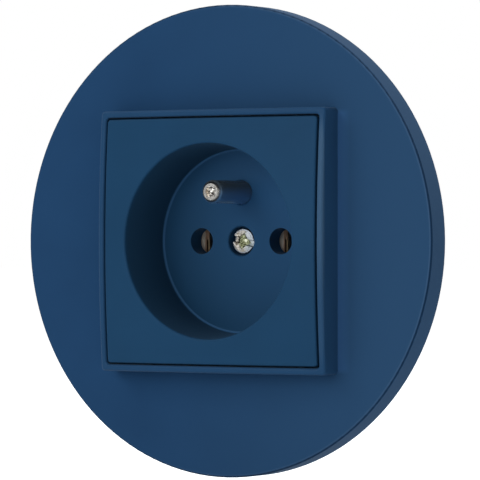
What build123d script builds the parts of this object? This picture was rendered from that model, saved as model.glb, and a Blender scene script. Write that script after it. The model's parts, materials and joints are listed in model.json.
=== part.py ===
"""Flush-mounted earthed wall socket with a round cover plate and a domed square centre.

Every piece is drawn in the wall's own frame: x to the right, y up the wall and z out of the
wall, with the wall's face at z = 0. The last step turns it upright, so that the part stands
with +Z up and faces -Y, and its origin is the middle of the wall's face, on the plug's axis.
"""

from build123d import *
import os

# Round cover plate
DISC_DIAMETER = 96.4
DISC_THICKNESS = 5.6
DISC_SKIN = 2.0
DISC_RIM = 2.4
DISC_EDGE_RADIUS = 0.45
DISC_BACK_CHAMFER = 0.15
DISC_COLLAR = 1.4
DISC_RIB = 1.2
DISC_RIB_COUNT = 16

# Domed face that the bezel and the socket cover share
DOME_RADIUS = 290.0
DOME_HEIGHT = 13.0
GAP = 0.35

# Square socket cover and its well
COVER_WIDTH = 50.0
COVER_CORNER = 0.7
COVER_EDGE_RADIUS = 0.35
COVER_PLATE = 1.8
COVER_SKIRT = 1.6
COVER_RIB = 1.2
COVER_RIB_DEPTH = 3.0
WELL_MOUTH_DIAMETER = 39.8
WELL_TAPER = 1.8
WELL_DEPTH = 14.01
WELL_WALL = 1.7
WELL_FLOOR = 1.6
MOUTH_RADIUS = 0.4
FLOOR_RADIUS = 0.5

# Plug interface
PIN_PITCH = 19.0
PIN_HOLE_DIAMETER = 5.4
PIN_SLEEVE_LENGTH = 4.0
PIN_SLEEVE_WALL = 1.3
PLUG_PIN_LENGTH = 19.0
EARTH_OFFSET = 10.0
EARTH_PIN_DIAMETER = 4.8
EARTH_PIN_LENGTH = 11.9
EARTH_PIN_TAPER_LENGTH = 0.85
EARTH_PIN_END_DIAMETER = 3.75
EARTH_PIN_DIMPLE_DIAMETER = 2.5
EARTH_PIN_DIMPLE_DEPTH = 0.4
EARTH_SHANK_DIAMETER = 4.4
EARTH_HOLE_DIAMETER = 5.0

# Screw that holds the cover
SCREW_HEAD_DIAMETER = 5.1
SCREW_HEAD_HEIGHT = 1.6
SCREW_HEAD_RADIUS = 0.2
SCREW_HEAD_DROP = 1.0
SCREW_SHANK_DIAMETER = 3.0
SCREW_LENGTH = 7.0
SCREW_SLOT = 0.9
SCREW_SLOT_DEPTH = 0.8
SCREW_CROSS_LENGTH = 3.0
SCREW_CROSS_DEPTH = 1.25
SCREW_TURN = -14.0
RECESS_DIAMETER = 6.1
RECESS_CHAMFER = 0.2
SCREW_HOLE_DIAMETER = 3.4
BOSS_WALL = 1.5
BOSS_FLOOR = 1.6

# Square bezel round the cover
BEZEL_RIM = 1.4
BEZEL_CORNER = 0.9
BEZEL_EDGE_RADIUS = 0.5
BEZEL_FLANGE = 1.0
BEZEL_NECK_WALL = 2.0
BEZEL_NECK_INSET = 1.0
BEZEL_CLEARANCE = 0.2

# Steel support ring on the wall
RING_WIDTH = 71.0
RING_CORNER_DIAMETER = 82.0
RING_THICKNESS = 1.2
RING_OPENING_GAP = 0.4
RING_CLEARANCE = 0.2
WALL_SCREW_PITCH = 60.0
WALL_SLOT_WIDTH = 4.0
WALL_SLOT_LENGTH = 5.5
TILT_SLOT_LENGTH = 9.0
WALL_SCREW_HEAD_DIAMETER = 8.4
LINK_HOLE_DIAMETER = 3.0
LINK_HOLE_CIRCLE = 73.0

# Moulded lid and base that hold the contacts
LID_GAP = 0.44
LID_THICKNESS = 2.6
LID_CLEARANCE = 0.3
BASE_CORNER = 4.0
BASE_FLOOR = 3.0
BASE_BACK_CHAMFER = 0.6
BASE_BORDER = 1.8
BASE_RELIEF = 0.8
BASE_RIB = 1.6
ENTRY_BOSS_DIAMETER = 8.0
GRIP_WIDTH = 6.0
GRIP_PITCH = 9.0
GRIP_DEPTH = 1.0
GRIP_MARGIN = 3.2
TOWER_DIAMETER = 6.4
TOWER_SCREW_GAP = 0.9
FIT_CLEARANCE = 0.05
POCKET_CLEARANCE = 0.25

# Screws of the ring and of the lid
RING_SCREW_DIAMETER = 2.4
RING_SCREW_HEAD_DIAMETER = 4.8
RING_SCREW_HEAD_HEIGHT = 1.4
RING_SCREW_LENGTH = 12.0
LID_SCREW_DIAMETER = 2.0
LID_SCREW_HEAD_DIAMETER = 3.8
LID_SCREW_LENGTH = 8.0
LID_SCREW_EDGE = 4.1
SMALL_SLOT = 0.6
SMALL_SLOT_DEPTH = 0.5

# Line and neutral contacts, folded from sheet
SHEET = 0.6
CLIP_MOUTH = 5.9
CLIP_LEAD = 4.8
CLIP_THROAT = 4.3
CLIP_BODY = 5.5
CLIP_TOP = 2.9
CLIP_WEB_DROP = 3.6
CLIP_LENGTH = 13.8
CLIP_LIP = 0.6
CLIP_BAND = 1.9
CLIP_WINDOW = 3.4
CLIP_WINDOW_MARGIN = 1.0
CLIP_SLIT = 0.45
CLIP_SLIT_DROP = 1.2
CLIP_SLIT_TOP = 0.75
TAIL_DEPTH = 5.0
TAIL_WIDTH = 5.4

# Terminals
TERMINAL_WIDTH = 8.0
TERMINAL_HEIGHT = 8.0
TERMINAL_LENGTH = 8.5
WIRE_BORE_DIAMETER = 4.0
WIRE_ENTRY_DIAMETER = 4.4
WIRE_ENTRY_CHAMFER = 0.5
TERMINAL_SCREW_DIAMETER = 3.2
TERMINAL_SCREW_HEAD_DIAMETER = 4.8
TERMINAL_SCREW_HEAD_HEIGHT = 1.8
TERMINAL_SCREW_STANDOFF = 0.4
TERMINAL_SCREW_SINK = 0.3
TERMINAL_SCREW_REACH = 0.8
TAIL_RIVET_DIAMETER = 1.8
RIVET_HEAD_DIAMETER = 3.0
RIVET_HEAD_HEIGHT = 0.7

# Earth connection behind the well
EARTH_FLANGE_DIAMETER = 8.0
EARTH_FLANGE = 1.2
EARTH_STRAP = 1.0
EARTH_STRAP_WIDTH = 7.4
EARTH_COLLAR_DIAMETER = 4.8
EARTH_COLLAR = 1.6
EARTH_RIVET_DIAMETER = 3.0
EARTH_RIVET_HEAD_DIAMETER = 4.2
EARTH_RIVET_HEAD_HEIGHT = 0.8
EARTH_TERMINAL_HEIGHT = 6.5

# Sizes that follow from the ones above
PAST = 1.0
COVER_HALF = COVER_WIDTH / 2
WELL_FLOOR_DIAMETER = WELL_MOUTH_DIAMETER - WELL_TAPER
BEZEL_OPENING = COVER_WIDTH + 2 * GAP
BEZEL_WIDTH = BEZEL_OPENING + 2 * BEZEL_RIM
NECK_WIDTH = BEZEL_WIDTH - 2 * BEZEL_NECK_INSET
NECK_OPENING = NECK_WIDTH - 2 * BEZEL_NECK_WALL
DISC_OPENING = NECK_WIDTH + 2 * BEZEL_CLEARANCE
SKIRT_BOTTOM = DISC_THICKNESS + BEZEL_FLANGE
FLOOR_FRONT = DOME_HEIGHT - WELL_DEPTH
FLOOR_BACK = FLOOR_FRONT - WELL_FLOOR
MOUTH_LEVEL = DOME_HEIGHT - DOME_RADIUS + (DOME_RADIUS**2 - (WELL_MOUTH_DIAMETER / 2) ** 2) ** 0.5
SLEEVE_DIAMETER = PIN_HOLE_DIAMETER + 2 * PIN_SLEEVE_WALL
SLEEVE_END = FLOOR_FRONT - PIN_SLEEVE_LENGTH
HEAD_TOP = FLOOR_FRONT - SCREW_HEAD_DROP
HEAD_SEAT = HEAD_TOP - SCREW_HEAD_HEIGHT
BOSS_DIAMETER = RECESS_DIAMETER + 2 * BOSS_WALL
BOSS_END = HEAD_SEAT - BOSS_FLOOR
RING_FRONT = RING_THICKNESS
LID_FRONT = FLOOR_BACK - LID_GAP
LID_BACK = LID_FRONT - LID_THICKNESS
CLIP_FRONT = LID_BACK
CLIP_BACK = CLIP_FRONT - CLIP_LENGTH
CLIP_POCKET_FLOOR = FLOOR_FRONT - PLUG_PIN_LENGTH - 2 * POCKET_CLEARANCE
BASE_BACK = CLIP_POCKET_FLOOR - BASE_FLOOR
TAIL_FRONT = CLIP_FRONT - TAIL_DEPTH
TAIL_BACK = TAIL_FRONT - SHEET
TERMINAL_BACK = TAIL_BACK - TERMINAL_LENGTH
STRAP_FRONT = LID_BACK
STRAP_BACK = STRAP_FRONT - EARTH_STRAP
EARTH_TERMINAL_BACK = STRAP_BACK - TERMINAL_LENGTH
EARTH_RIVET_ROOM = (EARTH_FLANGE_DIAMETER + RIVET_HEAD_DIAMETER) / 2 + POCKET_CLEARANCE
EARTH_TERMINAL_Y = EARTH_OFFSET + EARTH_RIVET_ROOM
TERMINAL_WALL = EARTH_TERMINAL_Y + EARTH_TERMINAL_HEIGHT / 2
TERMINAL_DROP = TERMINAL_WALL - TERMINAL_HEIGHT / 2
TERMINAL_SCREW_ROOM = TERMINAL_SCREW_STANDOFF + TERMINAL_SCREW_HEAD_HEIGHT + TERMINAL_SCREW_SINK
BASE_HALF = TERMINAL_WALL + TERMINAL_SCREW_ROOM
BASE_WIDTH = 2 * BASE_HALF
POCKET_WIDTH = TERMINAL_WIDTH + 2 * POCKET_CLEARANCE
WALL_SCREW_RADIUS = WALL_SCREW_PITCH / 2
CUP_DIAMETER = WELL_MOUTH_DIAMETER + 2 * WELL_WALL
RING_OPENING_DIAMETER = CUP_DIAMETER + 2 * RING_OPENING_GAP
TOWER_SPACING = (CUP_DIAMETER / 2 + TOWER_SCREW_GAP + RING_SCREW_HEAD_DIAMETER / 2) * 2**0.5
LID_SCREW_PITCH = BASE_WIDTH - 2 * LID_SCREW_EDGE

SIDES = {"line": -1, "neutral": 1}
UPRIGHT = Rot(90, 0, 0)


def column(shape, bottom, top):
    """A flat outline, drawn on the wall's plane, drawn out from one level to another."""
    return Pos(0, 0, bottom) * extrude(shape, amount=top - bottom)


def rod(diameter, bottom, top, x=0.0, y=0.0):
    """A round rod or hole along z."""
    return Pos(x, y, bottom) * Cylinder(
        diameter / 2, top - bottom, align=(Align.CENTER, Align.CENTER, Align.MIN)
    )


def clearance_hole(diameter, bottom, top, x=0.0, y=0.0):
    """A through hole in which a round piece of this diameter fits closely."""
    return rod(diameter + 2 * FIT_CLEARANCE, bottom - PAST, top + PAST, x, y)


def cone(bottom_diameter, top_diameter, bottom, top):
    """A round taper along z."""
    return Pos(0, 0, bottom) * Cone(
        bottom_diameter / 2, top_diameter / 2, top - bottom, align=(Align.CENTER, Align.CENTER, Align.MIN)
    )


def square(width, corner, bottom, top):
    """A square column with rounded corners."""
    return column(RectangleRounded(width, width, corner), bottom, top)


def dome(lowered=0.0):
    """The ball whose cap is the domed face, or that face lowered by a wall."""
    return Pos(0, 0, DOME_HEIGHT - DOME_RADIUS) * Sphere(DOME_RADIUS - lowered)


def upright_rod(diameter, bottom, top, x, z):
    """A round rod or hole along y."""
    return Pos(x, bottom, z) * Rot(-90, 0, 0) * Cylinder(
        diameter / 2, top - bottom, align=(Align.CENTER, Align.CENTER, Align.MIN)
    )


def block(x0, x1, y0, y1, z0, z1):
    """A box between two corners."""
    return Pos(x0, y0, z0) * Box(x1 - x0, y1 - y0, z1 - z0, align=(Align.MIN,) * 3)


def edges_at_level(part, level, reach, tolerance=0.02):
    """The edges that lie wholly at one level and within a distance of the axis."""
    found = []
    for edge in part.edges():
        box = edge.bounding_box()
        flat = abs(box.min.Z - level) < tolerance and abs(box.max.Z - level) < tolerance
        if flat and box.max.X <= reach + tolerance and box.min.X >= -reach - tolerance:
            found.append(edge)
    return found


def face_edges_on_dome(part, half, tolerance=0.02):
    """The edges where the domed face meets the straight sides of a square of this half width."""
    found = []
    for edge in part.edges():
        middle = edge.position_at(0.5)
        outward = max(abs(middle.X), abs(middle.Y))
        centre = Vector(0, 0, DOME_HEIGHT - DOME_RADIUS)
        on_dome = all(
            abs((edge.position_at(share) - centre).length - DOME_RADIUS) < tolerance
            for share in (0.0, 0.5, 1.0)
        )
        if on_dome and outward > half - COVER_CORNER - BEZEL_CORNER:
            if outward < half + tolerance:
                found.append(edge)
    return found


def round_cover_plate():
    """The round plate: a thin front skin on a rim, a collar and ribs, open for the bezel."""
    plate = rod(DISC_DIAMETER, 0, DISC_THICKNESS)
    plate = fillet(edges_at_level(plate, DISC_THICKNESS, DISC_DIAMETER / 2), DISC_EDGE_RADIUS)
    plate = chamfer(edges_at_level(plate, 0, DISC_DIAMETER / 2), DISC_BACK_CHAMFER)
    inside = DISC_DIAMETER - 2 * DISC_RIM
    skin_back = DISC_THICKNESS - DISC_SKIN
    inner_bottom = RING_FRONT + RING_CLEARANCE
    plate -= rod(inside, -PAST, skin_back)
    collar = square(DISC_OPENING + 2 * DISC_COLLAR, BEZEL_CORNER, inner_bottom, skin_back)
    rib = block(0, DISC_DIAMETER / 2 - DISC_RIM, -DISC_RIB / 2, DISC_RIB / 2, inner_bottom, skin_back)
    ribs = [Rot(0, 0, (k + 0.5) * 360 / DISC_RIB_COUNT) * rib for k in range(DISC_RIB_COUNT)]
    plate += collar
    plate += ribs
    for x, y in wall_screw_places():
        plate -= rod(WALL_SCREW_HEAD_DIAMETER, -PAST, skin_back, x, y)
    return plate - square(DISC_OPENING, BEZEL_CORNER, -PAST, DISC_THICKNESS + PAST)


def square_bezel():
    """The square bezel: a domed lip, a flange on the plate and a neck through its opening."""
    outer = square(BEZEL_WIDTH, BEZEL_CORNER, DISC_THICKNESS, DOME_HEIGHT + PAST)
    lip = outer - square(BEZEL_OPENING, COVER_CORNER, SKIRT_BOTTOM, DOME_HEIGHT + 2 * PAST)
    lip &= dome()
    lip = fillet(face_edges_on_dome(lip, BEZEL_WIDTH / 2)[:], BEZEL_EDGE_RADIUS)
    neck = square(NECK_WIDTH, BEZEL_CORNER, RING_FRONT + RING_CLEARANCE, DISC_THICKNESS)
    return lip + neck - square(NECK_OPENING, BEZEL_CORNER, 0, SKIRT_BOTTOM + PAST)


def well_shape(wall, floor, top):
    """The tapered round well, or the cup round it when it is given a wall."""
    slope = WELL_TAPER / (MOUTH_LEVEL - FLOOR_FRONT)
    at_floor = WELL_FLOOR_DIAMETER + 2 * wall
    at_bottom = at_floor - slope * (FLOOR_FRONT - floor)
    return cone(at_bottom, at_floor + slope * (top - FLOOR_FRONT), floor, top)


def socket_cover():
    """The domed square cover with the round well, its pin holes and the seat of its screw."""
    face = square(COVER_WIDTH, COVER_CORNER, SKIRT_BOTTOM, DOME_HEIGHT + PAST) & dome()
    face = fillet(face_edges_on_dome(face, COVER_HALF), COVER_EDGE_RADIUS)
    inner_width = COVER_WIDTH - 2 * COVER_SKIRT
    hollow = square(inner_width, COVER_CORNER, SKIRT_BOTTOM - PAST, DOME_HEIGHT + PAST)
    face -= hollow & dome(COVER_PLATE)
    cup = well_shape(WELL_WALL, FLOOR_BACK, DOME_HEIGHT + PAST) & dome()
    face += cup
    face -= well_shape(0, FLOOR_FRONT, DOME_HEIGHT + PAST)
    mouth = edges_at_level(face, MOUTH_LEVEL, WELL_MOUTH_DIAMETER / 2)
    face = fillet(mouth, MOUTH_RADIUS)
    floor = edges_at_level(face, FLOOR_FRONT, WELL_FLOOR_DIAMETER / 2)
    face = fillet(floor, FLOOR_RADIUS)

    rib = block(WELL_FLOOR_DIAMETER / 2 + WELL_WALL, COVER_WIDTH, -COVER_RIB / 2, COVER_RIB / 2,
                DOME_HEIGHT - COVER_PLATE - COVER_RIB_DEPTH, DOME_HEIGHT)
    ribs = Part() + [Rot(0, 0, 45 + 90 * k) * rib for k in range(4)]
    inside = square(inner_width, COVER_CORNER, SKIRT_BOTTOM, DOME_HEIGHT)
    ribs &= inside & dome(COVER_PLATE / 2)
    face += ribs - well_shape(WELL_WALL / 2, FLOOR_BACK, DOME_HEIGHT + PAST)

    for side in SIDES.values():
        x = side * PIN_PITCH / 2
        face += rod(SLEEVE_DIAMETER, SLEEVE_END, FLOOR_FRONT, x)
        face -= rod(PIN_HOLE_DIAMETER, SLEEVE_END - PAST, FLOOR_FRONT + PAST, x)
    face -= rod(EARTH_HOLE_DIAMETER, FLOOR_BACK - PAST, FLOOR_FRONT + PAST, 0, EARTH_OFFSET)
    face += rod(BOSS_DIAMETER, BOSS_END, FLOOR_FRONT)
    face -= rod(RECESS_DIAMETER, HEAD_SEAT, FLOOR_FRONT + PAST)
    face -= rod(SCREW_HOLE_DIAMETER, BOSS_END - PAST, FLOOR_FRONT)
    return chamfer(edges_at_level(face, FLOOR_FRONT, RECESS_DIAMETER / 2), RECESS_CHAMFER)


def cover_screw():
    """The screw in the middle of the well, with a slot across a cross recess."""
    head = rod(SCREW_HEAD_DIAMETER, HEAD_SEAT, HEAD_TOP)
    head = fillet(edges_at_level(head, HEAD_TOP, SCREW_HEAD_DIAMETER / 2), SCREW_HEAD_RADIUS)
    turn = Rot(0, 0, SCREW_TURN)
    reach = SCREW_HEAD_DIAMETER / 2 + PAST
    half = SCREW_SLOT / 2
    slot = block(-reach, reach, -half, half, HEAD_TOP - SCREW_SLOT_DEPTH, HEAD_TOP + PAST)
    arm = SCREW_CROSS_LENGTH / 2
    cross = Part() + [
        Rot(0, 0, 90 * k) * block(-arm, arm, -half, half, HEAD_TOP - SCREW_CROSS_DEPTH, HEAD_TOP + PAST)
        for k in range(2)
    ]
    head = head - turn * slot - turn * cross
    return head + rod(SCREW_SHANK_DIAMETER, HEAD_SEAT - SCREW_LENGTH, HEAD_SEAT)


def earth_pin():
    """The fixed earth pin: a turned rod with a tapered, dimpled end, a flange and a rivet tail."""
    tip = FLOOR_FRONT + EARTH_PIN_LENGTH
    shoulder = tip - EARTH_PIN_TAPER_LENGTH
    pin = rod(EARTH_PIN_DIAMETER, FLOOR_FRONT, shoulder)
    pin += cone(EARTH_PIN_DIAMETER, EARTH_PIN_END_DIAMETER, shoulder, tip)
    pin += rod(EARTH_SHANK_DIAMETER, STRAP_FRONT, FLOOR_FRONT)
    pin -= cone(0, EARTH_PIN_DIMPLE_DIAMETER, tip - EARTH_PIN_DIMPLE_DEPTH, tip)
    pin += rod(EARTH_FLANGE_DIAMETER, STRAP_FRONT, STRAP_FRONT + EARTH_FLANGE)
    pin += rod(EARTH_RIVET_DIAMETER, STRAP_BACK - EARTH_RIVET_HEAD_HEIGHT, STRAP_FRONT)
    pin += rod(EARTH_RIVET_HEAD_DIAMETER, STRAP_BACK - EARTH_RIVET_HEAD_HEIGHT, STRAP_BACK)
    return Pos(0, EARTH_OFFSET, 0) * pin


def earth_strap():
    """The strap from the earth terminal past the pin's foot to the collar for the cover's screw."""
    half = EARTH_STRAP_WIDTH / 2
    strap = block(-half, half, 0, TERMINAL_WALL, STRAP_BACK, STRAP_FRONT)
    strap += rod(EARTH_STRAP_WIDTH, STRAP_BACK, STRAP_FRONT)
    strap += rod(EARTH_COLLAR_DIAMETER, STRAP_BACK - EARTH_COLLAR, STRAP_FRONT)
    strap -= clearance_hole(SCREW_SHANK_DIAMETER, STRAP_BACK - EARTH_COLLAR, STRAP_FRONT)
    strap -= clearance_hole(EARTH_RIVET_DIAMETER, STRAP_BACK, STRAP_FRONT, 0, EARTH_OFFSET)
    return strap - clearance_hole(TAIL_RIVET_DIAMETER, STRAP_BACK, STRAP_FRONT, 0, EARTH_TERMINAL_Y)


def contact(side):
    """One plug contact: a folded clip with sprung legs, and the tail to its terminal."""
    lead = CLIP_FRONT - CLIP_LIP
    throat = CLIP_FRONT - CLIP_BAND
    wide = throat - CLIP_WINDOW
    inner = [
        (CLIP_MOUTH / 2, CLIP_FRONT),
        (CLIP_LEAD / 2, lead),
        (CLIP_THROAT / 2, throat),
        (CLIP_BODY / 2, wide),
        (CLIP_BODY / 2, CLIP_BACK),
    ]
    outer = [(x + SHEET, z) for x, z in reversed(inner)]
    outline = Plane.XZ * make_face(Polyline(*inner, *outer, close=True))
    leg = Pos(0, CLIP_TOP, 0) * extrude(outline, amount=CLIP_TOP + CLIP_WEB_DROP)
    width = CLIP_BODY / 2 + 2 * SHEET
    low = CLIP_WINDOW_MARGIN - CLIP_WEB_DROP
    leg -= block(0, width, low, CLIP_TOP - CLIP_WINDOW_MARGIN, wide, throat - CLIP_SLIT)
    slit = CLIP_FRONT - CLIP_SLIT_DROP
    leg -= block(0, width, -CLIP_WEB_DROP, CLIP_SLIT_TOP, slit - CLIP_SLIT / 2, slit + CLIP_SLIT / 2)
    legs = leg + mirror(leg, Plane.YZ)

    reach = CLIP_BODY / 2 + SHEET
    web = block(-reach, reach, -CLIP_WEB_DROP - SHEET, -CLIP_WEB_DROP, CLIP_BACK, CLIP_FRONT)
    half = TAIL_WIDTH / 2
    low = -TERMINAL_DROP - TAIL_WIDTH / 2
    tail = block(-half, half, low, -CLIP_WEB_DROP - SHEET, TAIL_BACK, TAIL_FRONT)
    tail -= clearance_hole(TAIL_RIVET_DIAMETER, TAIL_BACK, TAIL_FRONT, 0, -TERMINAL_DROP)
    clip = legs + web + tail
    return Pos(side * PIN_PITCH / 2, 0, 0) * clip


def terminal(x, y, height, back, front, wall_side):
    """A brass terminal block with a bore for the wire and a tapped hole for its screw."""
    half = TERMINAL_WIDTH / 2
    body = block(x - half, x + half, y - height / 2, y + height / 2, back, front)
    body = chamfer(body.edges().filter_by(Axis.Z), SHEET)
    body -= rod(WIRE_BORE_DIAMETER, back - PAST, front - SHEET - RIVET_HEAD_HEIGHT, x, y)
    middle = (back + front) / 2
    bottom, top = sorted((y, y + wall_side * (height / 2 + PAST)))
    body -= upright_rod(TERMINAL_SCREW_DIAMETER + 2 * FIT_CLEARANCE, bottom, top, x, middle)
    return body - rod(TAIL_RIVET_DIAMETER + 2 * FIT_CLEARANCE, back, front + PAST, x, y)


def terminal_screw(x, y, height, back, front, wall_side):
    """The slotted screw that clamps the wire, driven from the edge of the base."""
    middle = (back + front) / 2
    seat = height / 2 + TERMINAL_SCREW_STANDOFF
    inner = WIRE_BORE_DIAMETER / 2 - TERMINAL_SCREW_REACH
    head_top = seat + TERMINAL_SCREW_HEAD_HEIGHT
    screw = rod(TERMINAL_SCREW_DIAMETER, inner, seat)
    head = rod(TERMINAL_SCREW_HEAD_DIAMETER, seat, head_top)
    reach = TERMINAL_SCREW_HEAD_DIAMETER
    return Pos(x, y, middle) * Rot(-90 * wall_side, 0, 0) * (screw + head - small_slot(reach, head_top))


def small_slot(reach, head_top):
    """The driver slot across the head of a small screw."""
    half = SMALL_SLOT / 2
    return block(-reach, reach, -half, half, head_top - SMALL_SLOT_DEPTH, head_top + PAST)


def tail_rivet(x, y, back, front):
    """The rivet that joins a contact's tail, or the earth strap, to its terminal."""
    inner = back - SHEET - RIVET_HEAD_HEIGHT
    rivet = rod(TAIL_RIVET_DIAMETER, inner, front, x, y)
    head = rod(RIVET_HEAD_DIAMETER, front, front + RIVET_HEAD_HEIGHT, x, y)
    head = fillet(edges_at_top(head, front + RIVET_HEAD_HEIGHT), RIVET_HEAD_HEIGHT / 2)
    return rivet + head


def edges_at_top(part, level, tolerance=0.02):
    """The edges that lie wholly at one level."""
    return [e for e in part.edges() if abs(e.bounding_box().min.Z - level) < tolerance]


def wall_screw_places():
    """The four places where a screw into the wall box can hold the ring."""
    radius = WALL_SCREW_RADIUS
    return [(radius, 0), (-radius, 0), (0, radius), (0, -radius)]


def corner_places(spacing):
    """The corners of a square of this side."""
    half = spacing / 2
    return [(half, half), (-half, half), (-half, -half), (half, -half)]


def support_ring():
    """The stamped steel ring: slots for the wall screws and holes for the base's screws."""
    outline = Rectangle(RING_WIDTH, RING_WIDTH) & Circle(RING_CORNER_DIAMETER / 2)
    ring = column(outline, 0, RING_FRONT)
    ring -= rod(RING_OPENING_DIAMETER, -PAST, RING_FRONT + PAST)
    for x, y in wall_screw_places():
        length = WALL_SLOT_LENGTH if y == 0 else TILT_SLOT_LENGTH
        slot = SlotOverall(length, WALL_SLOT_WIDTH)
        ring -= Pos(x, y, 0) * column(slot, -PAST, RING_FRONT + PAST)
    for x, y in corner_places(TOWER_SPACING):
        ring -= rod(RING_SCREW_DIAMETER + 4 * FIT_CLEARANCE, -PAST, RING_FRONT + PAST, x, y)
    for x, y in corner_places(LINK_HOLE_CIRCLE / 2**0.5):
        ring -= rod(LINK_HOLE_DIAMETER, -PAST, RING_FRONT + PAST, x, y)
    return ring


def contact_lid():
    """The insulating lid over the contacts, open for the cover's sleeves and boss."""
    lid = square(BASE_WIDTH, BASE_CORNER, LID_BACK, LID_FRONT)
    lid -= rod(BOSS_DIAMETER + 2 * LID_CLEARANCE, LID_BACK - PAST, LID_FRONT + PAST)
    for side in SIDES.values():
        x = side * PIN_PITCH / 2
        lid -= rod(SLEEVE_DIAMETER + 2 * LID_CLEARANCE, LID_BACK - PAST, LID_FRONT + PAST, x)
        place = side * LID_SCREW_PITCH / 2
        lid -= clearance_hole(LID_SCREW_DIAMETER, LID_BACK, LID_FRONT, place)
        lid -= Pos(place, 0, 0) * screw_cone(LID_SCREW_HEAD_DIAMETER / 2 + FIT_CLEARANCE, LID_FRONT)
    lid -= clearance_hole(EARTH_SHANK_DIAMETER, LID_BACK, LID_FRONT, 0, EARTH_OFFSET)
    sunk = EARTH_FLANGE_DIAMETER + 2 * FIT_CLEARANCE
    lid -= rod(sunk, LID_BACK - PAST, STRAP_FRONT + EARTH_FLANGE, 0, EARTH_OFFSET)
    head = RIVET_HEAD_DIAMETER + 2 * POCKET_CLEARANCE
    head_top = STRAP_FRONT + RIVET_HEAD_HEIGHT + POCKET_CLEARANCE
    lid -= rod(head, LID_BACK - PAST, head_top, 0, EARTH_TERMINAL_Y)
    notch = BASE_WIDTH - TOWER_SPACING + TOWER_DIAMETER + 2 * LID_CLEARANCE
    for x, y in corner_places(BASE_WIDTH):
        lid -= Pos(x, y, 0) * square(notch, BASE_CORNER, LID_BACK - PAST, LID_FRONT + PAST)
    return lid


def screw_cone(radius, top):
    """The cone under a countersunk head, from its rim down to a point."""
    return cone(0, 2 * radius, top - radius, top)


def contact_base():
    """The moulded base: pockets for the contacts and terminals, wire entries and four towers."""
    base = square(BASE_WIDTH, BASE_CORNER, BASE_BACK, LID_BACK)
    base = chamfer(edges_at_top(base, BASE_BACK), BASE_BACK_CHAMFER) - back_relief() - side_grips()
    top = LID_BACK + PAST
    for x, y in corner_places(TOWER_SPACING):
        base += rod(TOWER_DIAMETER, LID_BACK - PAST, 0, x, y)
        base -= clearance_hole(RING_SCREW_DIAMETER, RING_FRONT - RING_SCREW_LENGTH, 0, x, y)
    for side in SIDES.values():
        x = side * PIN_PITCH / 2
        base -= clip_pocket(x, top)
        base -= terminal_pocket(x, -TERMINAL_WALL, -CLIP_WEB_DROP, TERMINAL_BACK, top)
        base -= wire_entry(x, -TERMINAL_DROP, TERMINAL_BACK)
        base -= screw_window(x, -1, (TAIL_BACK + TERMINAL_BACK) / 2)
        place = side * LID_SCREW_PITCH / 2
        base -= clearance_hole(LID_SCREW_DIAMETER, LID_FRONT - LID_SCREW_LENGTH, LID_BACK, place)
    base -= strap_pocket(top)
    inner = EARTH_TERMINAL_Y - EARTH_TERMINAL_HEIGHT / 2
    base -= terminal_pocket(0, inner, TERMINAL_WALL, EARTH_TERMINAL_BACK, top)
    base -= wire_entry(0, EARTH_TERMINAL_Y, EARTH_TERMINAL_BACK)
    return base - screw_window(0, 1, (STRAP_BACK + EARTH_TERMINAL_BACK) / 2)


def wire_places():
    """The places of the three wire entries in the base's back."""
    return [(side * PIN_PITCH / 2, -TERMINAL_DROP) for side in SIDES.values()] + [(0, EARTH_TERMINAL_Y)]


def back_relief():
    """The shallow core-out of the base's back, which leaves a border, ribs and the entries' bosses."""
    back = BASE_BACK - PAST
    front = BASE_BACK + BASE_RELIEF
    relief = square(BASE_WIDTH - 2 * BASE_BORDER, BASE_CORNER - BASE_BORDER, back, front)
    half = BASE_RIB / 2
    relief -= block(-BASE_HALF, BASE_HALF, -half, half, back, front)
    for x, y in wire_places():
        low, high = sorted((0, BASE_HALF if y > 0 else -BASE_HALF))
        relief -= block(x - half, x + half, low, high, back, front)
        relief -= rod(ENTRY_BOSS_DIAMETER, back, front, x, y)
    return relief


def side_grips():
    """The recesses between the grip ribs on the two sides of the base."""
    grips = Part()
    for side in SIDES.values():
        inner, outer = sorted((side * (BASE_HALF - GRIP_DEPTH), side * (BASE_HALF + PAST)))
        for k in (-1, 0, 1):
            middle = k * GRIP_PITCH
            grips += block(inner, outer, middle - GRIP_WIDTH / 2, middle + GRIP_WIDTH / 2,
                           BASE_BACK + GRIP_MARGIN, LID_BACK - GRIP_MARGIN)
    return grips


def clip_pocket(x, top):
    """The pocket for one contact's clip, deep enough for the plug's pin."""
    half = CLIP_BODY / 2 + SHEET + POCKET_CLEARANCE
    bottom = -CLIP_WEB_DROP - SHEET - POCKET_CLEARANCE
    return block(x - half, x + half, bottom, CLIP_TOP + POCKET_CLEARANCE, CLIP_POCKET_FLOOR, top)


def terminal_pocket(x, bottom, upper, back, top):
    """The pocket for a terminal and the strip that is riveted to it."""
    half = POCKET_WIDTH / 2
    gap = POCKET_CLEARANCE
    return block(x - half, x + half, bottom - gap, upper + gap, back - gap, top)


def strap_pocket(top):
    """The channel for the earth strap, its collar, the pin's rivet and the screw's end."""
    half = EARTH_STRAP_WIDTH / 2 + POCKET_CLEARANCE
    channel = block(-half, half, 0, TERMINAL_WALL, STRAP_BACK, top)
    channel += rod(EARTH_STRAP_WIDTH + 2 * POCKET_CLEARANCE, STRAP_BACK, top)
    collar = EARTH_COLLAR_DIAMETER + 2 * POCKET_CLEARANCE
    channel += rod(collar, STRAP_BACK - EARTH_COLLAR - POCKET_CLEARANCE, top)
    head = EARTH_RIVET_HEAD_DIAMETER + 2 * POCKET_CLEARANCE
    channel += rod(head, STRAP_BACK - EARTH_RIVET_HEAD_HEIGHT - POCKET_CLEARANCE, top, 0, EARTH_OFFSET)
    return channel + rod(SCREW_HOLE_DIAMETER, HEAD_SEAT - SCREW_LENGTH - PAST, top)


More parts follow.
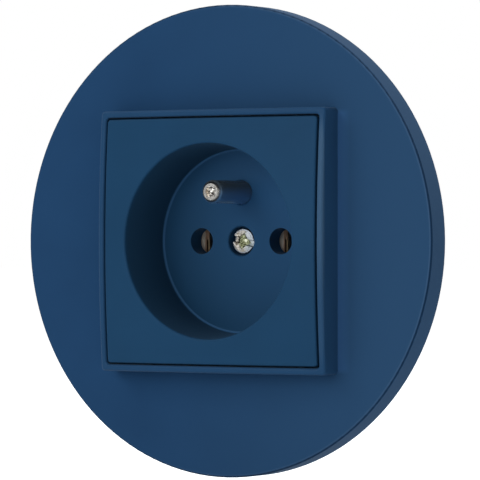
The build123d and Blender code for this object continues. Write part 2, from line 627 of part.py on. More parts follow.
def wire_entry(x, y, pocket):
    """A flared hole from the back of the base into a terminal's pocket."""
    hole = rod(WIRE_ENTRY_DIAMETER, BASE_BACK - PAST, pocket + PAST, x, y)
    flared = WIRE_ENTRY_DIAMETER + 2 * WIRE_ENTRY_CHAMFER
    flare = cone(flared, WIRE_ENTRY_DIAMETER, BASE_BACK, BASE_BACK + WIRE_ENTRY_CHAMFER)
    return hole + Pos(x, y, 0) * flare


def screw_window(x, wall_side, z):
    """The round window in the side of the base through which a terminal screw is reached."""
    bottom, top = sorted((wall_side * TERMINAL_DROP, wall_side * (BASE_HALF + PAST)))
    return upright_rod(TERMINAL_SCREW_HEAD_DIAMETER + 2 * LID_CLEARANCE, bottom, top, x, z)


def ring_screws():
    """The four screws that hold the ring on the towers of the base."""
    head_top = RING_FRONT + RING_SCREW_HEAD_HEIGHT
    head = rod(RING_SCREW_HEAD_DIAMETER, RING_FRONT, head_top)
    head = fillet(edges_at_top(head, head_top), RING_SCREW_HEAD_HEIGHT / 2)
    reach = RING_SCREW_HEAD_DIAMETER
    screw = head - small_slot(reach, head_top)
    screw += rod(RING_SCREW_DIAMETER, RING_FRONT - RING_SCREW_LENGTH, RING_FRONT)
    return [Pos(x, y, 0) * screw for x, y in corner_places(TOWER_SPACING)]


def lid_screws():
    """The two countersunk screws that close the lid on the base."""
    head = screw_cone(LID_SCREW_HEAD_DIAMETER / 2, LID_FRONT)
    head -= small_slot(LID_SCREW_HEAD_DIAMETER, LID_FRONT)
    neck_top = LID_FRONT - (LID_SCREW_HEAD_DIAMETER - LID_SCREW_DIAMETER) / 2
    screw = head + rod(LID_SCREW_DIAMETER, LID_FRONT - LID_SCREW_LENGTH, neck_top)
    return [Pos(side * LID_SCREW_PITCH / 2, 0, 0) * screw for side in SIDES.values()]


def write(name, part):
    """Turns a piece, or a group of like pieces, upright and writes it as one file."""
    pieces = part if isinstance(part, list) else [part]
    solids = [UPRIGHT * solid for piece in pieces for solid in piece.solids()]
    shape = solids[0] if len(solids) == 1 else Compound(children=solids)
    shape.label = name
    export_step(shape, f"parts/{name}.step")


def main():
    os.makedirs("parts", exist_ok=True)
    write("round_cover_plate", round_cover_plate())
    write("square_bezel", square_bezel())
    write("socket_cover", socket_cover())
    write("cover_screw", cover_screw())
    write("earth_pin", earth_pin())
    write("earth_strap", earth_strap())
    write("support_ring", support_ring())
    write("support_ring_screws", ring_screws())
    write("contact_lid", contact_lid())
    write("lid_screws", lid_screws())
    write("contact_base", contact_base())
    places = {
        name: (side * PIN_PITCH / 2, -TERMINAL_DROP, TERMINAL_HEIGHT, TERMINAL_BACK, TAIL_BACK, -1)
        for name, side in SIDES.items()
    }
    places["earth"] = (0, EARTH_TERMINAL_Y, EARTH_TERMINAL_HEIGHT, EARTH_TERMINAL_BACK, STRAP_BACK, 1)
    for name, side in SIDES.items():
        write(f"{name}_contact", contact(side))
    for name, (x, y, height, back, front, wall_side) in places.items():
        strip = EARTH_STRAP if name == "earth" else SHEET
        write(f"{name}_terminal", terminal(x, y, height, back, front, wall_side))
        write(f"{name}_terminal_screw", terminal_screw(x, y, height, back, front, wall_side))
        write(f"{name}_rivet", tail_rivet(x, y, front, front + strip))


main()
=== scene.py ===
"""A navy blue flush wall socket on a white ground, dressed and lit for Blender.

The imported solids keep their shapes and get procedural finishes. The cover screw and the earth pin
are made again, with the marks that the photograph shows on them.

+Z is up and the socket faces -Y. The origin is the middle of the wall's face, on the plug's axis.
Blender's lengths are metres; the constants here are in millimetres, except where a comment says so.
"""

import json
import math
import random

import bpy
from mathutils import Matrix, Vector


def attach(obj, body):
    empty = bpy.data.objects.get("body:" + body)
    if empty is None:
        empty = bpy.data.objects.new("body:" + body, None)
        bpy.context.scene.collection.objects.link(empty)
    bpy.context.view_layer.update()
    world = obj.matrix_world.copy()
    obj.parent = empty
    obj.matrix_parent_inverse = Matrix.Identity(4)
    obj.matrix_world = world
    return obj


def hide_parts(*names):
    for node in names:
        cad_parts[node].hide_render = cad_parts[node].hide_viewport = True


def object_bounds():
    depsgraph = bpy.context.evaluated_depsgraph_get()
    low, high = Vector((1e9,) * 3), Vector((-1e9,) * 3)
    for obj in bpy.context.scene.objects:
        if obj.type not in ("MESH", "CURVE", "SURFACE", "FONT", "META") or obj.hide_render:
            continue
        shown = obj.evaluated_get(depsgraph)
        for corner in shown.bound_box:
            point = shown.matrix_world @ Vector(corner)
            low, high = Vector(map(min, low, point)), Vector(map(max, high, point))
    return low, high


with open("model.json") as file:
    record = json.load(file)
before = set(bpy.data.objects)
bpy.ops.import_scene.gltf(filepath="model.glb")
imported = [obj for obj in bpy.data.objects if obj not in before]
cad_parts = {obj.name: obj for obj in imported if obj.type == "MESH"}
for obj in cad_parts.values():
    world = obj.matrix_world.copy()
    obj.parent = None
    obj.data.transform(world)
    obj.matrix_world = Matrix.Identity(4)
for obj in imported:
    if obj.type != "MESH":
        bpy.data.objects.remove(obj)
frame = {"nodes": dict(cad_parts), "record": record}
CAD_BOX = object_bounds()

MM = 0.001


def rgb(red, green, blue):
    """A colour given as 8-bit screen values, as Blender's linear one."""
    def linear(value):
        share = value / 255
        return share / 12.92 if share <= 0.04045 else ((share + 0.055) / 1.055) ** 2.4
    return (linear(red), linear(green), linear(blue), 1.0)


# Camera, as the photograph was taken: level, from the socket's right. Its distance is in metres,
# and its shifts are shares of the picture's width.
VIEW_ANGLE = math.radians(31.62)
VIEW_DISTANCE = 0.7494
LENS = 274.0
SENSOR_WIDTH = 36.0
SHIFT_X = 0.0033
SHIFT_Y = 0.0024

# Ground and light, in metres; shades and strengths are shares of plain white
FLOOR_DROP = 0.012
FLOOR_SIZE = 12.0
FLOOR_SHADE = 0.8
FLOOR_GLOW = 0.8
FLOOR_ROUGHNESS = 0.9
WORLD_STRENGTH = 0.3
LAMP_DISTANCE = 1.2
SKY_TINT = (0.7, 0.87, 1.0)

# In the blocks below, a pair of lengths is where a change of tone starts and where it ends, and a
# pair of colours is what such a change, or a noise, runs between.

# Plate, all painted light and shade: a painted sheen that makes its right side paler, a painted
# glint and a painted shade line round its front edge, and painted light that lifts the shade in a
# strip beside the bezel's right side; the glint's and the line's lengths are radii
NAVY_PLATE = rgb(30, 63, 98)
PLATE_PAINTED_SHEEN = rgb(39, 70, 102)
PLATE_PAINTED_GLINT = rgb(52, 80, 111)
PLATE_PAINTED_LIGHT = rgb(52, 90, 134)
PLATE_EDGE_SHADE = 0.5
PALER_RIGHT = (-20, 40)
PLATE_FRONT = (-5.3, -5.2)
GLINT_FROM = (47.55, 47.65)
LINE_FROM = (47.85, 47.95)
STRIP_FROM = (26.1, 26.2)
STRIP_TO = (26.6, 29.6)
STRIP_HEIGHT = (25.6, 26.6)

# Bezel: the painted highlight on the lip of its right side, and how bright that is at the bottom
NAVY_BEZEL = rgb(28, 63, 96)
LIP_PAINTED_HIGHLIGHT = rgb(53, 82, 110)
LIP_FROM = (25.4, 25.6)
LIP_FRONT = (-11, -10.7)
LIP_HEIGHT = (-12, 0)
LIP_BOTTOM = 0.3

# Cover: painted shade on the well's wall, painted light in its floor's lower and upper tones from
# left to right, and a painted highlight in the line that the floor's edge draws; the well's
# lengths are radii
NAVY_COVER = rgb(27, 62, 92)
WELL_PAINTED_SHADE = rgb(28, 57, 81)
PAINTED_FLOOR_LOWER = (rgb(24, 57, 85), rgb(31, 66, 98))
PAINTED_FLOOR_UPPER = (rgb(32, 66, 97), rgb(39, 77, 115))
RING_PAINTED_HIGHLIGHT = rgb(42, 79, 114)
WELL_MOUTH = (19.8, 19.9)
WELL_FLOOR = (18.6, 18.9)
RING_FROM = (18.5, 18.6)
RING_TO = (18.9, 19)
FLOOR_RIGHT = (-12, 16)
FLOOR_UP = (-17, 15)

# All three mouldings: the shades of their faint clouds, their roughness and their sheen
NAVY_CLOUDS = (0.94, 1.05)
NAVY_ROUGHNESS = (0.32, 0.41)
SHEEN_TINT = (0.78, 0.9, 1.0, 1.0)
SHEEN_ROUGHNESS = 0.5

# Contacts: depths behind the wall's face of the dull lip's end, of the dark split low down, of
# the worn edge behind it, and of the painted shade of the unlit inside
BRONZE_LEGS = (rgb(240, 204, 176), rgb(210, 172, 144))
BRONZE_LIP = rgb(196, 186, 172)
BRONZE_SPLIT = (rgb(66, 44, 26), rgb(255, 230, 184))
BRONZE_PAINTED_SHADE = rgb(30, 22, 16)
CLIP_LIP = (6.15, 6.35)
CLIP_SPLIT = (6.9, 6.95)
CLIP_WORN = (7.1, 7.17)
CLIP_INSIDE = (7.45, 7.65)
CLIP_LOW = (0.2, 0.5)

# Dull spots of the support ring's sheet, and the flecks of the base and lid
ZINC_DULL = rgb(150, 152, 150)
GREY_FLECK = rgb(150, 150, 146)

# Cover screw's plating: warm grey at the left and a painted reflection that makes it cool at the
# right, chipped at the far left, with a silver rim, an olive star, and a painted highlight that
# lies off the middle
CROWN_WARM = (rgb(142, 141, 136), rgb(112, 106, 94))
CROWN_COOL_REFLECTION = (rgb(132, 136, 140), rgb(110, 117, 119))
CROWN_CHIPPED = (rgb(84, 74, 60), rgb(196, 191, 182))
STAR_OLIVE = (rgb(64, 66, 42), rgb(134, 138, 110))
RIM_SILVER = rgb(122, 128, 136)
SCREW_PAINTED_GLINT = rgb(176, 178, 158)
COOL_FROM = (0.2, 1)
CHIPPED_TO = (-1.1, -0.6)
RIM_FROM = (2.12, 2.32)
STAR_TO = (1.45, 1.75)
GLINT_SPOT_TO = (0.2, 0.45)
GLINT_SPOT_PLACE = (0.5, 0.15)

# Cover screw's shape; heights are along its axis, from the wall's face and towards the room
SCREW_TOP = -1.62
SCREW_RADIUS = 2.57
SCREW_HEAD = 1.99
SCREW_SIDE = 1.1
SCREW_CROWN = 15.0
SCREW_ROUND = 0.16
SCREW_TURN = math.radians(-13.3)
PRESSED_EDGE = 0.12

# Its slot: half its width, its depth, the share of that depth that it has in the middle, and
# where it deepens, as a place and a width
SLOT_HALF = 0.62
SLOT_DEPTH = 0.8
SLOT_MIDDLE = 0.6
SLOT_DEEPENS = (1.2, 0.8)

# Its pressed star: how far its points reach, a wall at its edge, a floor that falls inwards, and
# the share of the facets in that floor, which fade towards the edge
STAR_REACH = 1.7
STAR_EDGE = 0.04
STAR_WALL = 0.16
STAR_SLOPE = 0.22
STAR_ROUGH = 0.3
STAR_FADE = 0.5

# Its thread, which fades at both ends, with this many rows of points to a turn
THREAD_RADIUS = 1.5
THREAD_DEPTH = 0.26
THREAD_PITCH = 0.6
THREAD_LENGTH = 7.0
THREAD_ROWS = 6

# Earth pin's plating: a dull end with a torn mark, browner at the left, and a polished shaft
# with a painted reflection, whose pair of colours runs upwards from blue to grey
PIN_GREY = (rgb(112, 110, 106), rgb(131, 130, 128))
PIN_BRIGHT = (rgb(44, 40, 40), rgb(194, 192, 186))
PIN_BROWN = (rgb(94, 84, 72), rgb(148, 139, 126))
PIN_SHAFT_REFLECTION = (rgb(84, 126, 168), rgb(92, 106, 116))
END_TO = (-10.59, -10.29)
TORN_TO = (1.02, 1.32)
BROWN_TO = (-0.6, -0.1)
SHAFT_UP = (8.8, 11.2)

# Earth pin's shape: its end, the mark pressed into it, and its side as (radius, height), from
# the end's rim back to the rivet's head. The rim has a drop, an inset and a width; the mark's
# square is narrowed, flattened and rounded by the shares in its shape.
PIN_UP = 10.0
PIN_TIP = 10.89
PIN_FACE = 1.74
PIN_RIM = (0.1, 0.04, 0.2)
PIN_MARK = 1.0492
PIN_MARK_EDGE = 0.2
PIN_MARK_DEPTH = 0.14
PIN_MARK_LEFT = 0.05
PIN_MARK_SHAPE = (0.98, 1.2, 0.8)
PIN_SIDE = [
    (1.8, 10.74), (1.86, 10.6), (2.37, 10.08), (2.4, 9.95), (2.4, -0.85), (2.48, -1.0),
    (2.48, -1.7), (2.2, -1.8), (2.2, -4.45), (4.0, -4.45), (4.0, -5.65), (1.5, -5.65),
    (1.5, -6.65), (2.1, -6.65), (2.1, -7.25), (1.8, -7.45),
]

# Turned pieces: points round a ring, the most room between two rings of a face, and the angle
# from which an edge is sharp
TURNS = 160
RING_STEP = 0.06
SHARP_ANGLE = math.radians(40)


class Tree:
    """A small builder for a node tree."""

    def __init__(self, tree):
        self.tree = tree

    def node(self, kind, inputs=None, **settings):
        made = self.tree.nodes.new(kind)
        for key, value in settings.items():
            setattr(made, key, value)
        for key, value in (inputs or {}).items():
            self.feed(made.inputs[key], value)
        return made

    def feed(self, socket, value):
        if isinstance(value, bpy.types.NodeSocket):
            self.tree.links.new(value, socket)
        else:
            socket.default_value = value

    def maths(self, operation, *values):
        made = self.node("ShaderNodeMath", dict(enumerate(values)), operation=operation)
        return made.outputs[0]

    def product(self, *values):
        result, *others = values
        for other in others:
            result = self.maths("MULTIPLY", result, other)
        return result

    def blend(self, share, first, second):
        """A number between two others."""
        return self.node("ShaderNodeMix", {"Factor": share, "A": first, "B": second}).outputs[0]

    def seen_directly(self):
        """1 for rays from the camera, off a gloss or through glass, which see plain white."""
        rays = self.node("ShaderNodeLightPath").outputs
        glossy = self.maths("MAXIMUM", rays["Is Camera Ray"], rays["Is Glossy Ray"])
        return self.maths("MAXIMUM", glossy, rays["Is Transmission Ray"])


class Shader(Tree):
    """A builder for the node tree of one new material, whose surface it sets."""

    def __init__(self, name):
        self.material = bpy.data.materials.new(name)
        self.material.use_nodes = True
        super().__init__(self.material.node_tree)
        self.surface = self.tree.nodes["Principled BSDF"]

    def set(self, **values):
        """Feeds the surface's inputs, whose names have underscores for spaces here."""
        for key, value in values.items():
            self.feed(self.surface.inputs[key.replace("_", " ")], value)

    def coords(self):
        """The object's own coordinates, in metres."""
        return self.node("ShaderNodeTexCoord").outputs["Object"]

    def place(self, axis):
        """One of the object's own coordinates, in metres."""
        return self.node("ShaderNodeSeparateXYZ", {"Vector": self.coords()}).outputs[axis]

    def off_axis(self, right=0.0, up=0.0):
        """Distance, in metres, from an axis that points at the room, this far off the middle."""
        moved = self.mapped(Location=(-right * MM, 0, -up * MM), Scale=(1, 0, 1))
        made = self.node("ShaderNodeVectorMath", {"Vector": moved}, operation="LENGTH")
        return made.outputs["Value"]

    def mapped(self, **settings):
        """The object's own coordinates, moved, turned or stretched."""
        return self.node("ShaderNodeMapping", {"Vector": self.coords(), **settings}).outputs[0]

    def noise(self, scale, detail=2.0, roughness=0.5, stretch=(1.0, 1.0, 1.0)):
        """Noise in the object's own metres; scale is in features per metre."""
        inputs = {"Scale": scale, "Detail": detail, "Roughness": roughness}
        made = self.node("ShaderNodeTexNoise", {"Vector": self.mapped(Scale=stretch), **inputs})
        return made.outputs["Fac"]

    def spread(self, value, low, high, from_low=0.3, from_high=0.7):
        """Maps a value's range, for a noise its middle, onto low to high."""
        inputs = {"From Min": from_low, "From Max": from_high, "To Min": low, "To Max": high}
        return self.node("ShaderNodeMapRange", {"Value": value, **inputs}).outputs["Result"]

    def past(self, value, start, end):
        """0 before a start and 1 past an end, in millimetres, for a length in metres."""
        return self.spread(value, 0, 1, start * MM, end * MM)

    def before(self, value, start, end):
        """1 before a start and 0 past an end, in millimetres, for a length in metres."""
        return self.spread(value, 1, 0, start * MM, end * MM)

    def mix(self, share, first, second):
        """A colour between two others."""
        made = self.node("ShaderNodeMix", {0: share, 6: first, 7: second}, data_type="RGBA")
        return made.outputs[2]

    def bump(self, height, distance, strength):
        """A relief in the surface's shading, whose distance is in metres."""
        inputs = {"Height": height, "Distance": distance, "Strength": strength}
        made = self.node("ShaderNodeBump", inputs)
        self.set(Normal=made.outputs["Normal"])


def shaded(colour, share):
    """A colour made darker or lighter, up to white."""
    return (*(min(1.0, share * part) for part in colour[:3]), 1.0)


def plate_painted_light(s, colour):
    """The plate: a painted sheen paler on its right, a painted glint inside a painted shade line at
    its front edge, and painted light by the bezel.
    """
    x, from_axis = s.place("X"), s.off_axis()
    # Painted sheen: the plate grows paler towards its right.
    right = s.past(x, *PALER_RIGHT)
    front = s.before(s.place("Y"), *PLATE_FRONT)
    # Painted highlight: a glint just inside the front edge, on the right.
    painted_glint = s.product(s.past(from_axis, *GLINT_FROM), right, front)
    # Painted shade: a darker line round the front edge, where it turns to the side.
    line = s.product(s.past(from_axis, *LINE_FROM), front)
    # Painted light: a paler strip beside the bezel's right side, lifting the shade there.
    beside = s.before(s.maths("ABSOLUTE", s.place("Z")), *STRIP_HEIGHT)
    strip = s.product(s.past(x, *STRIP_FROM), s.before(x, *STRIP_TO), beside)
    colour = s.mix(painted_glint, s.mix(right, colour, PLATE_PAINTED_SHEEN), PLATE_PAINTED_GLINT)
    colour = s.mix(line, colour, shaded(NAVY_PLATE, PLATE_EDGE_SHADE))
    return s.mix(strip, colour, PLATE_PAINTED_LIGHT)


def lip_painted_highlight(s, colour):
    """The bezel: a painted highlight on the rounded front of its right side, weaker at the bottom.
    """
    right = s.past(s.place("X"), *LIP_FROM)
    front = s.before(s.place("Y"), *LIP_FRONT)
    bottom, top = LIP_HEIGHT
    high = s.spread(s.place("Z"), LIP_BOTTOM, 1, bottom * MM, top * MM)
    # Painted highlight on the rounded front of the right side.
    return s.mix(s.product(right, front, high), colour, LIP_PAINTED_HIGHLIGHT)


def well_painted_light_and_shade(s, colour):
    """The cover: painted shade greying the well, and painted light making its floor paler to the
    right, upwards and in a line round it.
    """
    from_axis = s.off_axis()
    right = s.past(s.place("X"), *FLOOR_RIGHT)
    up = s.past(s.place("Z"), *FLOOR_UP)
    # Painted light: the well's floor paler to the right and upwards.
    floor = s.mix(up, s.mix(right, *PAINTED_FLOOR_LOWER), s.mix(right, *PAINTED_FLOOR_UPPER))
    # Painted highlight: a paler line round the floor's edge.
    ring = s.product(s.past(from_axis, *RING_FROM), s.before(from_axis, *RING_TO))
    # Painted shade: a greyer wall inside the well.
    colour = s.mix(s.before(from_axis, *WELL_MOUTH), colour, WELL_PAINTED_SHADE)
    colour = s.mix(s.before(from_axis, *WELL_FLOOR), colour, floor)
    return s.mix(ring, colour, RING_PAINTED_HIGHLIGHT)


def navy_plastic(name, base, gloss, sheen, painted_light_and_shade):
    """Satin moulded plastic: an even blue with a fine moulded grain, a pale sheen and its painted
    light and shade.
    """
    s = Shader(name)
    cloud = s.spread(s.noise(60, detail=3), 0, 1)
    s.set(Base_Color=painted_light_and_shade(s, s.mix(cloud, *(shaded(base, share) for share in NAVY_CLOUDS))))
    grain = s.noise(5200, detail=3, roughness=0.6)
    s.set(Roughness=s.spread(grain, *NAVY_ROUGHNESS), Specular_IOR_Level=gloss)
    s.set(Sheen_Weight=sheen, Sheen_Roughness=SHEEN_ROUGHNESS, Sheen_Tint=SHEEN_TINT)
    s.bump(grain, 0.000012, 0.5)
    return s.material


def metal(name, base, tint, roughness, grain_scale, stretch=(1, 1, 1)):
    """A bare or plated metal with a faint change of tint and a drawn grain."""
    s = Shader(name)
    cloud = s.noise(420, detail=2)
    s.set(Base_Color=s.mix(s.spread(cloud, 0, 1, 0.35, 0.65), base, tint), Metallic=1.0)
    grain = s.noise(grain_scale, detail=4, roughness=0.65, stretch=stretch)
    s.set(Roughness=s.spread(grain, roughness - 0.06, roughness + 0.08))
    s.bump(grain, 0.00002, 0.5)
    return s.material


def galvanised(name, base, tint):
    """Zinc plated sheet: crystals of slightly different greys, a rolled grain and dull spots."""
    s = Shader(name)
    crystals = s.node("ShaderNodeTexVoronoi", {"Vector": s.coords(), "Scale": 520})
    parts = s.node("ShaderNodeSeparateColor", {"Color": crystals.outputs["Color"]})
    spangle = s.mix(parts.outputs[0], base, tint)
    dull = s.spread(s.noise(180, detail=3), 0, 1, 0.55, 0.7)
    s.set(Base_Color=s.mix(dull, spangle, ZINC_DULL), Metallic=1.0)
    rolled = s.noise(900, detail=4, roughness=0.65, stretch=(1, 1, 6))
    s.set(Roughness=s.spread(rolled, 0.3, 0.46))
    s.bump(rolled, 0.00003, 0.5)
    return s.material


def pressed_zinc(name):
    """The cover screw's plating: a silver rim, a grey crown with a painted reflection at its right,
    an olive, pitted star and a painted highlight.
    """
    s = Shader(name)
    speck = s.noise(2300, detail=4, roughness=0.7)
    shade = s.spread(s.noise(1100, detail=3), 0, 1, 0.4, 0.6)
    chip = s.spread(s.noise(1900, detail=4, roughness=0.7), 0, 1, 0.42, 0.58)
    pitted = s.spread(speck, 0, 1, 0.42, 0.58)
    x = s.place("X")
    # Painted reflection: the crown cooler at its right.
    crown = s.mix(s.past(x, *COOL_FROM), s.mix(shade, *CROWN_WARM), s.mix(shade, *CROWN_COOL_REFLECTION))
    skin = s.mix(s.before(x, *CHIPPED_TO), crown, s.mix(chip, *CROWN_CHIPPED))
    skin = s.mix(s.past(s.off_axis(), *RIM_FROM), skin, RIM_SILVER)
    turned = s.mapped(Rotation=(0, SCREW_TURN, 0))
    size = s.node("ShaderNodeVectorMath", {"Vector": turned}, operation="ABSOLUTE").outputs[0]
    parts = s.node("ShaderNodeSeparateXYZ", {"Vector": size}).outputs
    star = s.before(s.maths("ADD", parts["X"], parts["Z"]), *STAR_TO)
    # Painted highlight: one bright spot off the middle.
    glint_spot = s.before(s.off_axis(*GLINT_SPOT_PLACE), *GLINT_SPOT_TO)
    colour = s.mix(star, skin, s.mix(pitted, *STAR_OLIVE))
    s.set(Base_Color=s.mix(glint_spot, colour, SCREW_PAINTED_GLINT), Metallic=1.0)
    s.set(Roughness=s.spread(speck, 0.24, 0.42))
    s.bump(speck, 0.00016, 0.8)
    return s.material


def turned_nickel(name):
    """The earth pin's plating: polished along the shaft, with a painted reflection on it, and torn
    and dull on its end.
    """
    s = Shader(name)
    tear = s.noise(1700, detail=4, roughness=0.7)
    shade = s.spread(tear, 0, 1, 0.42, 0.58)
    end = s.before(s.place("Y"), *END_TO)
    mark = s.before(s.off_axis(up=PIN_UP), *TORN_TO)
    left = s.before(s.place("X"), *BROWN_TO)
    torn = s.mix(left, s.mix(shade, *PIN_BRIGHT), s.mix(shade, *PIN_BROWN))
    upper = s.past(s.place("Z"), *SHAFT_UP)
    tip = s.mix(mark, s.mix(shade, *PIN_GREY), torn)
    # Painted reflection on the shaft, bluer low down and greyer up.
    s.set(Base_Color=s.mix(end, s.mix(upper, *PIN_SHAFT_REFLECTION), tip))
    s.set(Metallic=s.blend(end, 0.6, 1.0), Roughness=s.blend(mark, 0.26, 0.12))
    s.bump(s.product(tear, end), 0.0001, 0.6)
    return s.material


def sprung_bronze(name):
    """The contacts' bronze: dull at the lip, brown along the legs, split low down, with painted
    shade inside.
    """
    s = Shader(name)
    drawn = s.noise(1600, detail=3, stretch=(1, 6, 1))
    depth = s.place("Y")
    legs = s.mix(s.spread(drawn, 0, 1), *BRONZE_LEGS)
    colour = s.mix(s.before(depth, *CLIP_LIP), legs, BRONZE_LIP)
    split = s.product(s.past(depth, *CLIP_SPLIT), s.before(s.place("Z"), *CLIP_LOW))
    colour = s.mix(split, colour, s.mix(s.past(depth, *CLIP_WORN), *BRONZE_SPLIT))
    # Painted shade: dark deep inside the contacts.
    colour = s.mix(s.past(depth, *CLIP_INSIDE), colour, BRONZE_PAINTED_SHADE)
    s.set(Base_Color=colour, Metallic=0.2, Roughness=s.spread(drawn, 0.36, 0.5))
    s.bump(drawn, 0.00002, 0.5)
    return s.material


def grey_thermoset(name, base):
    """Light grey thermoset: faintly mottled and flecked, with a dull moulded skin."""
    s = Shader(name)
    mottle = s.mix(s.spread(s.noise(260, detail=4), 0, 1), shaded(base, 0.9), base)
    fleck = s.spread(s.noise(3800, detail=2), 0, 1, 0.62, 0.7)
    grain = s.noise(2600, detail=3)
    s.set(Base_Color=s.mix(fleck, mottle, GREY_FLECK), Roughness=s.spread(grain, 0.42, 0.55))
    s.bump(grain, 0.00002, 0.4)
    return s.material


FINISHES = {
    name: make(name, *values)
    for name, make, *values in (
        ("navy_plate", navy_plastic, NAVY_PLATE, 0.0, 0.17, plate_painted_light),
        ("navy_bezel", navy_plastic, NAVY_BEZEL, 0.05, 0.05, lip_painted_highlight),
        ("navy_cover", navy_plastic, NAVY_COVER, 0.03, 0.015, well_painted_light_and_shade),
        ("pressed_zinc", pressed_zinc),
        ("zinc_screw", metal, rgb(214, 214, 204), rgb(196, 200, 160), 0.28, 3000),
        ("zinc_sheet", galvanised, rgb(192, 195, 200), rgb(170, 174, 182)),
        ("nickel_pin", turned_nickel),
        ("bronze_clip", sprung_bronze),
        ("brass_block", metal, rgb(206, 176, 104), rgb(188, 156, 88), 0.3, 1500, (8, 1, 1)),
        ("grey_base", grey_thermoset, rgb(206, 207, 205)),
        ("grey_lid", grey_thermoset, rgb(200, 201, 200)),
    )
}


def step(value, edge, width):
    """0 below an edge and 1 above it, with a smooth change of this width."""
    share = min(1.0, max(0.0, (value - edge) / width + 0.5))
    return share * share * (3 - 2 * share)


def turned_points(face, reach, profile):
    """Points (right, up, height) of a turned piece: its middle, its face's rings, its flanks."""
    angles = [2 * math.pi * k / TURNS for k in range(TURNS)]
    rings = max(2, round(reach / RING_STEP))
    points = [(0.0, 0.0, face(0.0, 0.0))]
    for ring in range(1, rings + 1):
        radius = reach * ring / rings
        for angle in angles:
            u, v = radius * math.cos(angle), radius * math.sin(angle)
            points.append((u, v, face(u, v)))
    for radius, height in profile:
        for angle in angles:
            r = radius(angle) if callable(radius) else radius
            points.append((r * math.cos(angle), r * math.sin(angle), height))
    points.append((0.0, 0.0, profile[-1][1]))
    return points


def turned_faces(rings):
    """Faces that join a middle point, this many rings of points and a last middle point."""
    nexts = [(k + 1) % TURNS for k in range(TURNS)]
    faces = [(0, 1 + k, 1 + after) for k, after in enumerate(nexts)]
    for start in range(1, 1 + (rings - 1) * TURNS, TURNS):
        for k, after in enumerate(nexts):
            faces.append((start + k, start + TURNS + k, start + TURNS + after, start + after))
    start = 1 + (rings - 1) * TURNS
    return faces + [(start + TURNS, start + after, start + k) for k, after in enumerate(nexts)]


def turned_piece(name, centre, face, reach, profile, node, finish):
    """A lathe-turned piece facing the room, whose front is a relief and whose flanks are a profile.

    The face is a function of the places right of and above the axis that gives a height, out to
    a radius, reach. The profile's points are (radius, height), where a radius may also be a
    function of the angle.
    """
    points = turned_points(face, reach, profile)
    right, up = centre
    mesh = bpy.data.meshes.new(name)
    mesh.from_pydata(
        [((right + u) * MM, -height * MM, (up + v) * MM) for u, v, height in points],
        [],
        turned_faces((len(points) - 2) // TURNS),
    )
    mesh.validate()
    mesh.shade_smooth()
    mesh.set_sharp_from_angle(angle=SHARP_ANGLE)
    piece = bpy.data.objects.new(name, mesh)
    bpy.context.collection.objects.link(piece)
    mesh.materials.append(FINISHES[finish])
    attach(piece, "root")
    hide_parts(node)


def facets(seed, count, reach, slope):
    """Facets of a broken or pitted skin: places within a reach, each with its slopes."""
    draw = random.Random(seed)
    limits = (reach, reach, slope, slope)
    return [tuple(draw.uniform(-limit, limit) for limit in limits) for _ in range(count)]


STAR_FLOOR = facets(seed=5, count=16, reach=1.3, slope=0.5)
PIN_FLOOR = facets(seed=11, count=22, reach=1.1, slope=0.45)


def broken(skin, u, v):
    """Height of a skin of facets: the tilt of the one that lies nearest."""
    right, up, along, rise = min(skin, key=lambda facet: math.hypot(u - facet[0], v - facet[1]))
    return (u - right) * along + (v - up) * rise


def screw_face(u, v):
    """Height of the screw's head: crowned, round at its rim, with a slot across a pressed star."""
    r = math.hypot(u, v)
    height = -r * r / (2 * SCREW_CROWN)
    past = r - (SCREW_RADIUS - SCREW_ROUND)
    if past > 0:
        height -= SCREW_ROUND - math.sqrt(max(0.0, SCREW_ROUND**2 - past**2))
    along = abs(u * math.cos(SCREW_TURN) + v * math.sin(SCREW_TURN))
    across = abs(v * math.cos(SCREW_TURN) - u * math.sin(SCREW_TURN))
    depth = SLOT_DEPTH * (SLOT_MIDDLE + (1 - SLOT_MIDDLE) * step(along, *SLOT_DEEPENS))
    slot = depth * (1 - step(across, SLOT_HALF, PRESSED_EDGE))
    inside = STAR_REACH - along - across
    star = (STAR_WALL + STAR_SLOPE * inside) * step(inside, STAR_EDGE, PRESSED_EDGE)
    if inside > 0:
        star += STAR_ROUGH * broken(STAR_FLOOR, u, v) * min(1.0, inside / STAR_FADE)
    return SCREW_TOP + height - max(slot, star)


def screw_profile():
    """The screw's flanks: the side of its head, and a thread that runs down the shank."""
    seat = SCREW_TOP - SCREW_HEAD
    root = THREAD_RADIUS - THREAD_DEPTH
    points = [(SCREW_RADIUS, SCREW_TOP - SCREW_SIDE), (SCREW_RADIUS, seat), (root, seat)]
    rows = round(THREAD_ROWS * THREAD_LENGTH / THREAD_PITCH)
    for row in range(1, rows + 1):
        down = THREAD_LENGTH * row / rows
        fade = min(1.0, down / THREAD_PITCH, (THREAD_LENGTH - down) / THREAD_PITCH)

        def radius(angle, down=down, fade=fade):
            share = (down / THREAD_PITCH + angle / (2 * math.pi)) % 1.0
            crest = 1 - abs(2 * share - 1)
            return THREAD_RADIUS - THREAD_DEPTH * (1 - crest * fade)
        points.append((radius, seat - down))
    return points


def pin_face(u, v):
    """Height of the pin's end: a turned rim round a stamped mark with a torn floor."""
    r = math.hypot(u, v)
    drop, inset, width = PIN_RIM
    wide, tall, cornered = PIN_MARK_SHAPE
    reach = max(abs(u + PIN_MARK_LEFT) * wide, abs(v) * tall, r * cornered)
    mark = 1 - step(reach, PIN_MARK, PIN_MARK_EDGE)
    rim = drop * step(r, PIN_FACE - inset, width)
    return PIN_TIP - rim - mark * (PIN_MARK_DEPTH - broken(PIN_FLOOR, u, v))


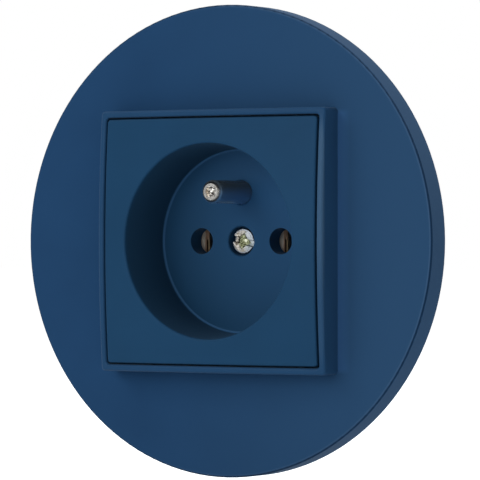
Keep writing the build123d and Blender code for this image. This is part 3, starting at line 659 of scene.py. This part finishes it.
def make_turned_pieces():
    """The screw and the earth pin, turned and pressed in more detail than their solids."""
    turned_piece(
        "cover_screw_turned", (0, 0), screw_face, SCREW_RADIUS, screw_profile(),
        "cover_screw", "pressed_zinc",
    )
    turned_piece(
        "earth_pin_turned", (0, PIN_UP), pin_face, PIN_FACE, PIN_SIDE,
        "earth_pin", "nickel_pin",
    )


def dress_nodes():
    """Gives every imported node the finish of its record's slot."""
    slots = {part["node"]: part["material_slot"] for part in frame["record"]["subparts"]}
    for name, node in frame["nodes"].items():
        node.data.materials.clear()
        node.data.materials.append(FINISHES[slots[name]])


def make_floor():
    """A plain pale floor under the socket, near white to the camera, which keeps the shadow."""
    level = CAD_BOX[0][2] - FLOOR_DROP
    bpy.ops.mesh.primitive_plane_add(size=FLOOR_SIZE, location=(0, 0, level))
    floor = bpy.context.object
    floor.name = "floor"
    s = Shader("pale_floor")
    s.set(Base_Color=(FLOOR_SHADE, FLOOR_SHADE, FLOOR_SHADE, 1))
    s.set(Roughness=FLOOR_ROUGHNESS, Specular_IOR_Level=0.0)
    glow = s.node("ShaderNodeEmission", {"Strength": s.product(s.seen_directly(), FLOOR_GLOW)})
    both = s.node("ShaderNodeAddShader", {0: s.surface.outputs[0], 1: glow.outputs[0]})
    s.feed(s.tree.nodes["Material Output"].inputs["Surface"], both.outputs[0])
    floor.data.materials.append(s.material)


def make_world():
    """A soft even world, which the camera and the metal see as plain white."""
    world = bpy.data.worlds.new("studio")
    world.use_nodes = True
    bpy.context.scene.world = world
    t = Tree(world.node_tree)
    background = t.tree.nodes["Background"].inputs
    t.feed(background["Color"], (1, 1, 1, 1))
    t.feed(background["Strength"], t.blend(t.seen_directly(), WORLD_STRENGTH, 1.0))


def softbox(name, azimuth, elevation, size, share, tint=(1.0, 1.0, 1.0)):
    """A square soft light round the socket, seen from it at these angles from its front.

    Its size is in metres. The share is how much of a plain white surface's brightness it gives,
    faced squarely.
    """
    turn, rise = math.radians(azimuth), math.radians(elevation)
    ahead = math.cos(rise)
    toward = Vector((math.sin(turn) * ahead, -math.cos(turn) * ahead, math.sin(rise)))
    data = bpy.data.lights.new(name, "AREA")
    data.shape = "SQUARE"
    data.size = size
    data.energy = share * (math.pi * LAMP_DISTANCE) ** 2
    data.color = tint
    lamp = bpy.data.objects.new(name, data)
    lamp.location = toward * LAMP_DISTANCE
    lamp.rotation_euler = (-toward).to_track_quat("-Z", "Y").to_euler()
    bpy.context.collection.objects.link(lamp)


def make_camera():
    """The photograph's camera."""
    data = bpy.data.cameras.new("camera")
    data.lens = LENS
    data.sensor_width = SENSOR_WIDTH
    data.shift_x = SHIFT_X
    data.shift_y = SHIFT_Y
    camera = bpy.data.objects.new("camera", data)
    camera.location = Vector((math.sin(VIEW_ANGLE), -math.cos(VIEW_ANGLE), 0)) * VIEW_DISTANCE
    camera.rotation_euler = (-camera.location).to_track_quat("-Z", "Y").to_euler()
    bpy.context.collection.objects.link(camera)
    bpy.context.scene.camera = camera


dress_nodes()
make_turned_pieces()
make_floor()
make_world()
softbox("key", azimuth=-5, elevation=6, size=0.9, share=0.6)
softbox("fill", azimuth=-38, elevation=35, size=0.6, share=0.24)
softbox("side", azimuth=84, elevation=5, size=0.6, share=0.19)
softbox("back", azimuth=180, elevation=72, size=0.6, share=0.64, tint=SKY_TINT)
make_camera()
bpy.context.scene.view_settings.view_transform = "Standard"
